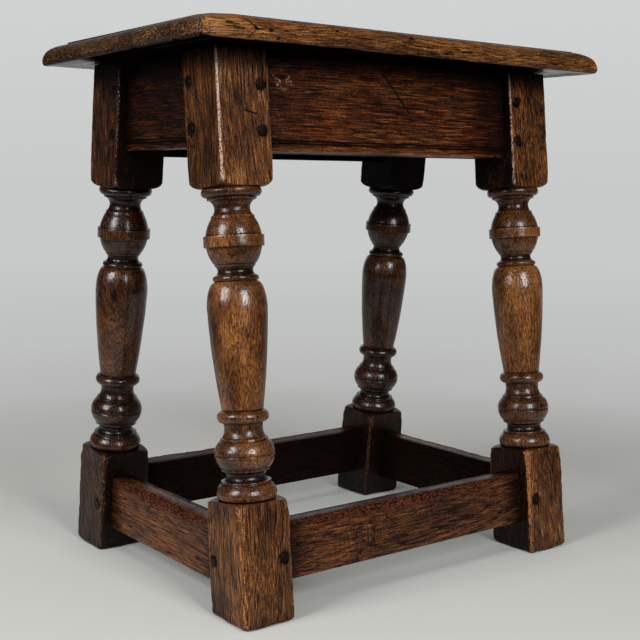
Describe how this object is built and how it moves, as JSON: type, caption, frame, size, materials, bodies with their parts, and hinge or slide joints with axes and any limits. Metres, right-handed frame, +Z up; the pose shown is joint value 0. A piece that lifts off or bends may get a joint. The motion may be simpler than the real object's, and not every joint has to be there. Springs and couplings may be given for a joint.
{
  "type": "joint stool",
  "caption": "Joined oak stool: moulded seat board on raked turned legs, tied by aprons and low stretchers with pegged tenons.",
  "frame": {"origin": "on the floor, under the middle of the seat", "axes": "+X along the seat, +Y across it towards the back, +Z up; the front is the long side at -Y"},
  "size_m": [0.457, 0.2976, 0.483],
  "materials": {
    "seat_oak": "old waxed oak, mid brown, paler on the worn edge",
    "leg_oak": "old waxed oak, honey to dark brown, dark in the hollows",
    "apron_oak": "old waxed oak, dark reddish brown",
    "stretcher_oak": "old waxed oak, dark reddish brown, worn along the top",
    "peg_oak": "dull, nearly black oak"
  },
  "bodies": {
    "root": {"seat_board": "seat_oak", "seat_pegs": "peg_oak", "leg_front_left": "leg_oak", "apron_pegs_front_left": "peg_oak", "stretcher_pegs_front_left": "peg_oak", "leg_front_right": "leg_oak", "apron_pegs_front_right": "peg_oak", "stretcher_pegs_front_right": "peg_oak", "leg_back_left": "leg_oak", "apron_pegs_back_left": "peg_oak", "stretcher_pegs_back_left": "peg_oak", "leg_back_right": "leg_oak", "apron_pegs_back_right": "peg_oak", "stretcher_pegs_back_right": "peg_oak", "apron_front": "apron_oak", "stretcher_front": "stretcher_oak", "apron_back": "apron_oak", "stretcher_back": "stretcher_oak", "apron_left": "apron_oak", "stretcher_left": "stretcher_oak", "apron_right": "apron_oak", "stretcher_right": "stretcher_oak"}
  },
  "joints": []
}
